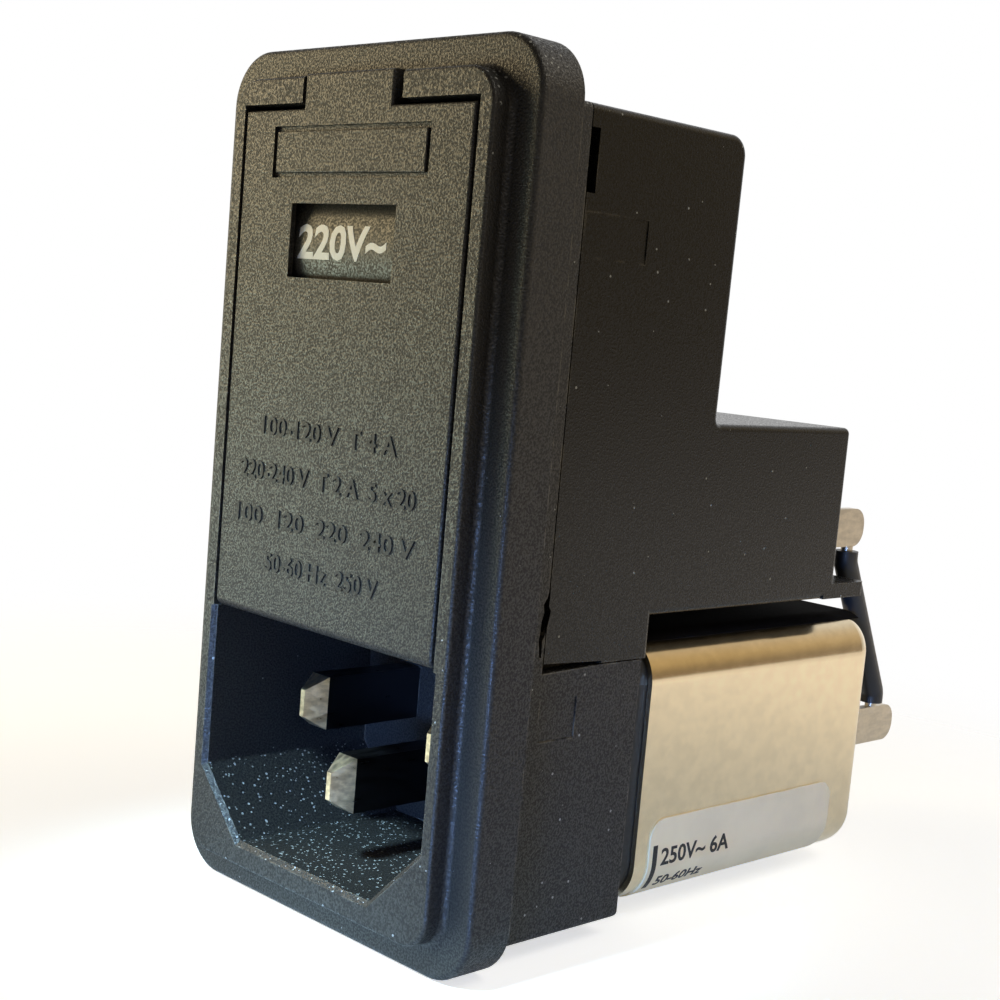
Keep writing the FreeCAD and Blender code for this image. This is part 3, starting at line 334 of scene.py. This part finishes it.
def plain_finish(name, colour, roughness, drift=0.1, specular=0.5):
    """A smooth finish whose tone and gloss drift a little."""
    material, tree, shader = new_finish(name, colour, roughness, specular=specular)
    grain = place_group(tree, GRAIN, Grains_per_metre=3000.0)
    tone = mix_colour(tree, grain.outputs["Tone"], shade(colour, 1 - drift), shade(colour, 1 + drift))
    tree.links.new(tone, shader.inputs["Base Color"])
    gloss = ramp_node(tree, grain.outputs["Speck"], 0.0, 1.0, roughness - 0.03, roughness + 0.05)
    tree.links.new(gloss, shader.inputs["Roughness"])
    return material


def fuse_glass():
    material, tree, shader = new_finish("fuse_glass", GLASS_CLEAR, 0.05)
    shader.inputs["Transmission Weight"].default_value = 1.0
    grain = place_group(tree, GRAIN, Grains_per_metre=1500.0)
    bump(tree, shader, grain.outputs["Tone"], 0.02 * MM)
    return material


FINISHES = {
    # On the bezel's faces that look up the dust is real dust and also painted light: its heavy share
    # brightens the inlet floor and the flange top.
    "bezel_plastic": moulding("bezel_plastic", BEZEL_BLACK, roughness=0.52, specular=0.5, relief=0.05,
                              contrast=0.8, dust=0.012, lying_dust_and_light=0.85, wear=0.6),
    "housing_plastic": moulding("housing_plastic", HOUSING_BLACK, roughness=0.30, specular=0.35,
                                relief=0.016, contrast=0.8, dust=0.006, lying_dust_and_light=0.05, wear=0.35),
    "door_plastic": moulding("door_plastic", BEZEL_BLACK, roughness=0.52, specular=0.5, relief=0.05,
                             contrast=0.8, dust=0.012, lying_dust_and_light=0.1, wear=0.4),
    "drum_plastic": moulding("drum_plastic", DRUM_BLACK, roughness=0.5, specular=0.5, relief=0.02,
                             contrast=0.5, dust=0.01, lying_dust_and_light=0.05, wear=0.2),
    "carrier_plastic": plain_finish("carrier_plastic", CARRIER_GREY, 0.45),
    "insulator_plastic": plain_finish("insulator_plastic", INSULATOR_BLACK, 0.5),
    "brass_strip": plated("brass_strip", BRASS, 0.3, spread=0.08, mottle=0.08,
                          streaks=(300.0, 2000.0, 2000.0)),
    "tinned_brass": plated("tinned_brass", TIN, 0.38, spread=0.08, mottle=0.15,
                           streaks=(2000.0, 600.0, 2000.0)),
    "tinned_wire": plated("tinned_wire", TIN, 0.35, spread=0.08, mottle=0.08,
                          streaks=(2000.0, 300.0, 2000.0)),
    "nickel": plated("nickel", PIN_NICKEL, 0.36, spread=0.1, mottle=0.2,
                     streaks=(2600.0, 500.0, 2600.0), sides=PIN_SHANK_PAINTED_SHADE),
    "can_metal": plated("can_metal", CAN_NICKEL, 0.16, spread=0.02, mottle=0.04,
                        streaks=(900.0, 700.0, 900.0)),
    "fuse_glass": fuse_glass(),
    "label_film": plain_finish("label_film", LABEL_WHITE, 0.5, drift=0.04),
    "potting_resin": plain_finish("potting_resin", RESIN_GREY, 0.5),
    "ferrite": plain_finish("ferrite", FERRITE_GREY, 0.6),
    "enamelled_copper": plated("enamelled_copper", COPPER, 0.35, spread=0.08, mottle=0.1,
                               streaks=(900.0, 900.0, 900.0)),
    "capacitor_box": plain_finish("capacitor_box", BOX_YELLOW, 0.4),
    "capacitor_disc": plain_finish("capacitor_disc", DISC_BLUE, 0.35),
    "resistor_body": plain_finish("resistor_body", RESISTOR_TAN, 0.4),
    "sleeve_rubber": plain_finish("sleeve_rubber", SLEEVE_BLACK, 0.4),
}
PRINT_WHITE = plain_finish("print_white", INK_WHITE, 0.5, drift=0.03)
# Painted shade on the can's top, matt so that it shows no reflection
SHADE_SHEET = plain_finish("shade_sheet_finish", CAN_TOP_PAINTED_SHADE, 0.94, drift=0.2, specular=0.05)
LETTER_SHADE_FINISH = plain_finish("letter_painted_shade", LETTER_PAINTED_SHADE, 0.6, drift=0.2)


def dress_frame():
    """Each CAD node gets the finish of its slot in the record."""
    for part in frame["record"]["subparts"]:
        mesh = NODES[part["node"]].data
        mesh.materials.clear()
        mesh.materials.append(FINISHES[part["material_slot"]])


dress_frame()


# Lettering: plain numbers and units


def words(text, width, height, thick, weight=0.0):
    """Lettering fitted to a width and a height: centred on the origin, thick along z from 0 up."""
    curve = bpy.data.curves.new("words", "FONT")
    curve.body = text
    curve.extrude = 0.5
    curve.resolution_u = 3
    curve.offset = weight
    carrier = bpy.data.objects.new("words", curve)
    bpy.context.scene.collection.objects.link(carrier)
    mesh = bpy.data.meshes.new_from_object(carrier.evaluated_get(bpy.context.evaluated_depsgraph_get()))
    bpy.data.objects.remove(carrier)
    shape = bmesh.new()
    shape.from_mesh(mesh)
    bpy.data.meshes.remove(mesh)
    bmesh.ops.remove_doubles(shape, verts=shape.verts, dist=WELD)
    low = Vector([min(v.co[i] for v in shape.verts) for i in range(3)])
    high = Vector([max(v.co[i] for v in shape.verts) for i in range(3)])
    middle = (low + high) / 2
    bmesh.ops.translate(shape, verts=shape.verts, vec=(-middle.x, -middle.y, -low.z))
    span = high - low
    bmesh.ops.scale(shape, verts=shape.verts, vec=(width / span.x, height / span.y, thick / span.z))
    return shape


def bar(width, height, thick):
    """A flat plate, centred on the origin: thick along z from 0 up."""
    shape = bmesh.new()
    bmesh.ops.create_cube(shape, size=1.0)
    bmesh.ops.scale(shape, verts=shape.verts, vec=(width, height, thick))
    bmesh.ops.translate(shape, verts=shape.verts, vec=(0, 0, thick / 2))
    return shape


def slice_rows(shape, height, rows):
    """Cut a flat shape into rows, so that it can be bent."""
    for i in range(1, rows):
        level = Vector((0, height * (i / rows - 0.5), 0))
        everything = shape.verts[:] + shape.edges[:] + shape.faces[:]
        bmesh.ops.bisect_plane(shape, geom=everything, dist=1e-6, plane_co=level, plane_no=(0, 1, 0))


def finish_piece(name, shapes, body, finish):
    """One piece from shapes given in millimetres."""
    mesh = bpy.data.meshes.new(name)
    whole = bmesh.new()
    for shape in shapes:
        bmesh.ops.recalc_face_normals(shape, faces=shape.faces)
        part = bpy.data.meshes.new(name + "_part")
        shape.to_mesh(part)
        shape.free()
        whole.from_mesh(part)
        bpy.data.meshes.remove(part)
    bmesh.ops.scale(whole, verts=whole.verts, vec=(MM, MM, MM))
    whole.to_mesh(mesh)
    whole.free()
    mesh.materials.append(finish)
    piece = bpy.data.objects.new(name, mesh)
    bpy.context.scene.collection.objects.link(piece)
    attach(piece, body)


# Door lines: text, middle in x and z, width
DOOR_LINES = [("100-120 V  T 4 A", -0.42, 4.15, 14.5), ("220-240 V  T 2 A  5 x 20", -0.45, 0.9, 18.9),
              ("100  120  220  240 V", -0.4, -2.3, 19.3), ("50-60 Hz  250 V", -0.2, -5.45, 12.3)]
DOOR_LINE_H = 1.3
DOOR_LINE_T = 0.09
DOOR_LINE_WEIGHT = 0.012
# Drum numbers: text, and the turn in degrees at which it stands
DRUM_TURNS = [("220V~", 0.0), ("240V~", 90.0), ("100V~", 180.0), ("120V~", 270.0)]
DRUM_TEXT_X = -1.1
DRUM_TEXT_W = 9.4
DRUM_TEXT_H = 2.42
DRUM_TEXT_RISE = 0.3
DRUM_TEXT_WEIGHT = 0.03
DRUM_ROWS = 10
# Label lines: text, width, height, middle in y, rise above the bend; the bar has no text
LABEL_LINES = [("250V~ 6A", 8.2, 1.35, 22.6, 0.3), ("50-60Hz", 5.6, 0.95, 21.4, -1.75)]
LABEL_BAR = (0.5, 3.6, 17.75, -0.5)
LABEL_WEIGHT = 0.02
LABEL_ROWS = 12
PRINT_T = 0.02
LABEL_BEND = 3.3
PAD_X = -0.425
PAD_Z = 23.12
PAD_W = 15.6
PAD_H = 2.8
PAD_T = 0.26
PAD_EASE = 0.08
# Sheet of painted shade on the can's top: thickness, inset, turn over the edges, rows
SHADE_SHEET_T = 0.04
SHADE_SHEET_INSET = 0.6
SHADE_SHEET_TURN = 30.0
SHADE_SHEET_ROWS = 80
WELD = 1e-5
UPRIGHT = Matrix.Rotation(math.pi / 2, 3, "X")


def door_ratings():
    """Raised lines of ratings on the fuse door, in a darker finish than the door: painted shade, standing
    for the shade in engraved letters.
    """
    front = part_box("fuse_door")[0].y / MM
    shapes = []
    for text, x, z, width in DOOR_LINES:
        shape = words(text, width, DOOR_LINE_H, DOOR_LINE_T, DOOR_LINE_WEIGHT)
        bmesh.ops.rotate(shape, verts=shape.verts, cent=(0, 0, 0), matrix=UPRIGHT)
        bmesh.ops.translate(shape, verts=shape.verts, vec=(x, front, z))
        shapes.append(shape)
    finish_piece("door_ratings", shapes, "door", LETTER_SHADE_FINISH)


def door_pad():
    """A bare pad in the door's sunk plate, with a narrow groove left all round it."""
    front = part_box("fuse_door")[0].y / MM
    shape = bar(PAD_W, PAD_H, PAD_T)
    top = [e for e in shape.edges if min(v.co.z for v in e.verts) > PAD_T / 2]
    bmesh.ops.bevel(shape, geom=top, offset=PAD_EASE, segments=2, profile=0.5, affect="EDGES", material=-1)
    bmesh.ops.rotate(shape, verts=shape.verts, cent=(0, 0, 0), matrix=UPRIGHT)
    bmesh.ops.translate(shape, verts=shape.verts, vec=(PAD_X, front + PAD_T, PAD_Z))
    finish_piece("door_pad", [shape], "door", FINISHES["door_plastic"])


def drum_numbers():
    """Voltages printed round the selector drum, one for each quarter turn."""
    low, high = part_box("selector_drum")
    axis = (low + high) / 2 / MM
    radius = (high.z - low.z) / 2 / MM
    shapes = []
    for text, turn in DRUM_TURNS:
        shape = words(text, DRUM_TEXT_W, DRUM_TEXT_H, PRINT_T, DRUM_TEXT_WEIGHT)
        slice_rows(shape, DRUM_TEXT_H, DRUM_ROWS)
        for vert in shape.verts:
            angle = (vert.co.y + DRUM_TEXT_RISE) / radius + math.radians(turn)
            reach = radius + vert.co.z
            vert.co = Vector((vert.co.x + DRUM_TEXT_X, axis.y, axis.z))
            vert.co += reach * Vector((0, -math.cos(angle), math.sin(angle)))
        shapes.append(shape)
    finish_piece("drum_numbers", shapes, "drum", PRINT_WHITE)


def on_label(shape, y, rise, skin):
    """Lay a flat shape on the label: on the can's side above the bend, round its lower edge below it."""
    low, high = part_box("filter_can")
    bend_x = high.x / MM - LABEL_BEND
    bend_z = low.z / MM + LABEL_BEND
    for vert in shape.verts:
        height = vert.co.y + rise
        reach = LABEL_BEND + skin + vert.co.z
        angle = min(height, 0.0) / LABEL_BEND
        vert.co = Vector((bend_x, y + vert.co.x, bend_z + max(height, 0.0)))
        vert.co += reach * Vector((math.cos(angle), 0, math.sin(angle)))
    return shape


def can_top_shade_sheet():
    """A thin matt black sheet on the can's top, bent a little over its two long edges: painted shade,
    standing for the shade and dark reflection under the housing.
    """
    low, high = [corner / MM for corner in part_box("filter_can")]
    flat = high.x - LABEL_BEND
    over = math.radians(SHADE_SHEET_TURN) * LABEL_BEND
    span = 2 * (flat + over)
    shape = bar(high.y - low.y - 2 * SHADE_SHEET_INSET, span, SHADE_SHEET_T)
    slice_rows(shape, span, SHADE_SHEET_ROWS)
    for vert in shape.verts:
        across = vert.co.y
        angle = max(abs(across) - flat, 0.0) / LABEL_BEND
        reach = LABEL_BEND + vert.co.z
        x = math.copysign(min(abs(across), flat) + reach * math.sin(angle), across)
        z = high.z - LABEL_BEND + reach * math.cos(angle)
        vert.co = Vector((x, vert.co.x + (low.y + high.y) / 2, z))
    finish_piece("can_top_shade_sheet", [shape], "housing", SHADE_SHEET)


def label_print():
    """Ratings and an end bar printed on the can's label."""
    skin = (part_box("can_label")[1].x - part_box("filter_can")[1].x) / MM
    shapes = []
    for line, width, height, y, rise in LABEL_LINES:
        shape = words(line, width, height, PRINT_T, LABEL_WEIGHT)
        slice_rows(shape, height, LABEL_ROWS)
        shapes.append(on_label(shape, y, rise, skin))
    width, height, y, rise = LABEL_BAR
    end_bar = bar(width, height, PRINT_T)
    slice_rows(end_bar, height, LABEL_ROWS)
    shapes.append(on_label(end_bar, y, rise, skin))
    finish_piece("label_print", shapes, "housing", FINISHES["insulator_plastic"])


door_ratings()
door_pad()
drum_numbers()
can_top_shade_sheet()
label_print()


# Studio: floor, lamps, room and camera


def plane_at(name, size, place, material):
    mesh = bpy.data.meshes.new(name)
    shape = bmesh.new()
    bmesh.ops.create_grid(shape, x_segments=1, y_segments=1, size=size / 2 * MM)
    bmesh.ops.translate(shape, verts=shape.verts, vec=in_metres(place))
    shape.to_mesh(mesh)
    shape.free()
    mesh.materials.append(material)
    thing = bpy.data.objects.new(name, mesh)
    bpy.context.scene.collection.objects.link(thing)
    return thing


def softbox(name, place, target, width, height, radiance, colour, spread=180.0):
    """An area lamp that faces a target, given by how bright its face is."""
    lamp = bpy.data.lights.new(name, "AREA")
    lamp.shape = "RECTANGLE"
    lamp.size = width * MM
    lamp.size_y = height * MM
    lamp.energy = radiance * math.pi * lamp.size * lamp.size_y
    lamp.color = colour
    lamp.spread = math.radians(spread)
    thing = bpy.data.objects.new(name, lamp)
    thing.location = in_metres(place)
    aim = Vector(target) - Vector(place)
    thing.rotation_euler = aim.to_track_quat("-Z", "Y").to_euler()
    thing.visible_camera = False
    bpy.context.scene.collection.objects.link(thing)


def along(tree, outward, direction):
    """How far the direction of a ray agrees with a given one."""
    node = tree.nodes.new("ShaderNodeVectorMath")
    node.operation = "DOT_PRODUCT"
    node.inputs[1].default_value = direction
    tree.links.new(outward, node.inputs[0])
    return node.outputs["Value"]


def make_world():
    """White behind the part for camera, gloss and glass; a dim room, dark in front, warm at the right."""
    world = bpy.data.worlds.new("studio")
    world.use_nodes = True
    tree = world.node_tree
    path = tree.nodes.new("ShaderNodeLightPath")
    outward = tree.nodes.new("ShaderNodeTexCoord").outputs["Generated"]
    backdrop = ramp_node(tree, along(tree, outward, CAMERA_AHEAD), *BACKDROP_EDGE)
    right = ramp_node(tree, along(tree, outward, CAMERA_RIGHT), *SIDE_EDGE)
    above = ramp_node(tree, along(tree, outward, (0, 0, 1)), -0.3, 0.5)
    front = mix_colour(tree, above, FRONT_ROOM_LOW, FRONT_ROOM_HIGH)
    lofty = ramp_node(tree, along(tree, outward, (0, 0, 1)), 0.05, 0.4)
    side = mix_colour(tree, lofty, SIDE_ROOM_LOW, SIDE_ROOM_HIGH)
    room = mix_colour(tree, right, front, side)
    mirrored = math_node(tree, "MAXIMUM", path.outputs["Is Glossy Ray"], path.outputs["Is Transmission Ray"])
    shown = math_node(tree, "MULTIPLY", mirrored, backdrop)
    shown = math_node(tree, "MAXIMUM", shown, path.outputs["Is Camera Ray"])
    tree.links.new(mix_colour(tree, shown, room, (1.0, 1.0, 1.0)), tree.nodes["Background"].inputs["Color"])
    bpy.context.scene.world = world


def floor_finish():
    """Pale board that fades into the white background away from the part. In reflections it glows: dim and
    cool near the part, a painted shade and painted cool light, paler far off.
    """
    material, tree, shader = new_finish("floor", FLOOR_GREY, 0.9, specular=0.1)
    reach = tree.nodes.new("ShaderNodeVectorMath")
    reach.operation = "LENGTH"
    tree.links.new(object_place(tree), reach.inputs[0])
    path = tree.nodes.new("ShaderNodeLightPath")
    near = ramp_node(tree, reach.outputs["Value"], FLOOR_FADE[1] * MM, FLOOR_FADE[0] * MM)
    far = ramp_node(tree, reach.outputs["Value"], MIRROR_FADE[1] * MM, MIRROR_FADE[0] * MM)
    unseen = math_node(tree, "SUBTRACT", 1.0, path.outputs["Is Camera Ray"])
    fade = math_node(tree, "MAXIMUM", near, math_node(tree, "MULTIPLY", far, unseen))
    tree.links.new(fade, shader.inputs["Alpha"])
    # Painted shade and glow that the part's reflections show
    away = ramp_node(tree, reach.outputs["Value"], MIRROR_SHADE_REACH[0] * MM, MIRROR_SHADE_REACH[1] * MM)
    mirrored = mix_colour(tree, away, MIRROR_SHADE_NEAR, MIRROR_GLOW_FAR)
    lift = mix_colour(tree, path.outputs["Is Camera Ray"], mirrored, (FLOOR_LIFT, FLOOR_LIFT, FLOOR_LIFT))
    tree.links.new(lift, shader.inputs["Emission Color"])
    seen = math_node(tree, "MAXIMUM", path.outputs["Is Camera Ray"], path.outputs["Is Glossy Ray"])
    seen = math_node(tree, "MAXIMUM", seen, path.outputs["Is Transmission Ray"])
    tree.links.new(seen, shader.inputs["Emission Strength"])
    return material


make_world()
plane_at("floor", 2000.0, (0, 0, FLOOR_Z), floor_finish())
softbox("key", (-185, -115, 68), (0, 0, 5), 90, 120, 8.7, (1.0, 0.79, 0.44))
softbox("low_fill", (-165, -125, -23), (0, 0, -15), 110, 12, 22.0, (0.74, 1.0, 0.82))
softbox("right", (130, 75, 170), (13, 20, -20), 120, 120, 3.4, (1.0, 0.97, 0.88))
softbox("cool_low", (70, -150, -22), (5, -5, -22), 120, 12, 4.0, (0.22, 0.43, 1.0), 24.0)
softbox("sky", (0, -110, 120), (0, -2, -26), 30, 20, 3.4, (0.52, 0.82, 1.0), 12.0)


def make_camera():
    data = bpy.data.cameras.new("camera")
    data.sensor_fit = "HORIZONTAL"
    data.sensor_width = CAMERA_SENSOR
    data.lens = CAMERA_LENS
    data.shift_y = CAMERA_SHIFT_Y
    data.clip_start = CAMERA_CLIP[0]
    data.clip_end = CAMERA_CLIP[1]
    camera = bpy.data.objects.new("camera", data)
    axes = Matrix((CAMERA_RIGHT, [-v for v in CAMERA_DOWN], [-v for v in CAMERA_AHEAD])).transposed()
    camera.matrix_world = Matrix.Translation(in_metres(CAMERA_PLACE)) @ axes.to_4x4()
    bpy.context.scene.collection.objects.link(camera)
    bpy.context.scene.camera = camera


make_camera()
bpy.context.scene.view_settings.view_transform = "Standard"
